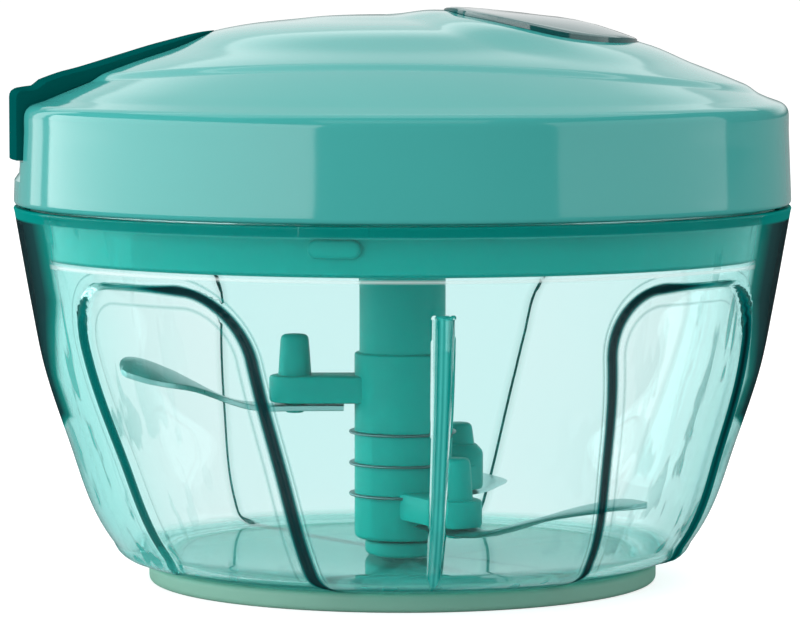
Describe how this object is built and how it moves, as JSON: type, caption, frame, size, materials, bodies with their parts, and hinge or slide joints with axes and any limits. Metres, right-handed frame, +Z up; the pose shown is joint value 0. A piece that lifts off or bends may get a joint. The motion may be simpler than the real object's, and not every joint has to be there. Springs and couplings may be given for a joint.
{
  "type": "hand-pulled food chopper",
  "caption": "Small pull-cord food chopper: clear ribbed bowl on a non-slip foot, swept blades on a spindle, domed lid with cord reel, return spring and pull handle.",
  "frame": {"origin": "middle of the foot's flat underside", "axes": "+Z up along the bowl, spindle and reel; the pull handle is on -X; the picture is taken from -Y"},
  "size_m": [0.1251, 0.1238, 0.0915],
  "materials": {
    "clear_teal": "clear tinted, polished",
    "pale_foot": "soft matt",
    "mint_shell": "high gloss",
    "teal_moulding": "satin",
    "dark_teal": "high gloss, slightly clear",
    "blade_steel": "fine ground",
    "spring_steel": "cold rolled",
    "white_moulding": "satin",
    "silicone": "soft, slightly clear",
    "cord": "fine braid"
  },
  "bodies": {
    "bowl_body": {"base_foot": "pale_foot", "bowl": "clear_teal", "spindle_pin": "blade_steel"},
    "bush_body": {"pivot_bush": "teal_moulding"},
    "blade_unit": {"blade_column": "teal_moulding", "column_washer_1": "blade_steel", "column_washer_2": "blade_steel", "column_washer_3": "blade_steel", "blade_1": "blade_steel", "blade_2": "blade_steel", "blade_3": "blade_steel"},
    "seal_body": {"seal_ring": "silicone"},
    "lid_body": {"lid_shell": "mint_shell", "top_plate": "dark_teal", "inner_lid": "teal_moulding", "shaft_bush": "white_moulding", "axle": "blade_steel", "return_spring": "spring_steel", "cord_eyelet": "spring_steel", "cord_run": "cord", "lid_screw_1": "spring_steel", "lid_screw_2": "spring_steel", "lid_screw_3": "spring_steel"},
    "drive_body": {"drive_shaft": "white_moulding", "ratchet_wheel": "white_moulding"},
    "reel_body": {"reel": "white_moulding", "wound_cord": "cord", "spring_cover": "spring_steel", "pawl_pin_1": "blade_steel", "pawl_pin_2": "blade_steel", "pawl_spring_1": "spring_steel", "pawl_spring_2": "spring_steel"},
    "pawl_1_body": {"pawl_1": "white_moulding"},
    "pawl_2_body": {"pawl_2": "white_moulding"},
    "handle_body": {"pull_handle": "dark_teal", "cord_ferrule": "spring_steel"}
  },
  "joints": [
    {"name": "lid_lift", "type": "slide", "parent": "bowl_body", "child": "seal_body", "axis": [0, 0, 1], "range_m": [0, 0.12]},
    {"name": "lid_turn", "type": "hinge", "parent": "seal_body", "child": "lid_body", "pos_m": [0, 0, 0.0604], "axis": [0, 0, 1], "range_deg": [0, 15]},
    {"name": "handle_pull", "type": "slide", "parent": "lid_body", "child": "handle_body", "axis": [-1, 0, 0], "range_m": [0, 0.3], "stiffness_N_per_m": 8, "springref_m": -0.2},
    {"name": "reel_spin", "type": "hinge", "parent": "lid_body", "child": "reel_body", "pos_m": [0, 0, 0.07], "axis": [0, 0, -1], "range_deg": [0, 1012]},
    {"name": "drive_spin", "type": "hinge", "parent": "lid_body", "child": "drive_body", "pos_m": [0, 0, 0.058], "axis": [0, 0, -1], "range_deg": [0, 1012]},
    {"name": "pawl_1_swing", "type": "hinge", "parent": "reel_body", "child": "pawl_1_body", "pos_m": [0, 0.0186, 0.0637], "axis": [0, 0, -1], "range_deg": [0, 10], "stiffness_Nm_per_rad": 0.0005, "springref_deg": -11.46},
    {"name": "pawl_2_swing", "type": "hinge", "parent": "reel_body", "child": "pawl_2_body", "pos_m": [0, -0.0186, 0.0637], "axis": [0, 0, -1], "range_deg": [0, 10], "stiffness_Nm_per_rad": 0.0005, "springref_deg": -11.46},
    {"name": "blade_lift", "type": "slide", "parent": "bowl_body", "child": "bush_body", "axis": [0, 0, 1], "range_m": [0, 0.06]},
    {"name": "blade_spin", "type": "hinge", "parent": "bush_body", "child": "blade_unit", "pos_m": [0, 0, 0.01], "axis": [0, 0, -1], "range_deg": [0, 1012]}
  ],
  "couplings": [
    {"joint": "blade_lift", "follows": "lid_lift", "ratio": 0.5},
    {"joint": "reel_spin", "follows": "handle_pull", "rad_per_m": 58.824},
    {"joint": "drive_spin", "follows": "handle_pull", "rad_per_m": 58.824},
    {"joint": "blade_spin", "follows": "handle_pull", "rad_per_m": 58.824}
  ]
}
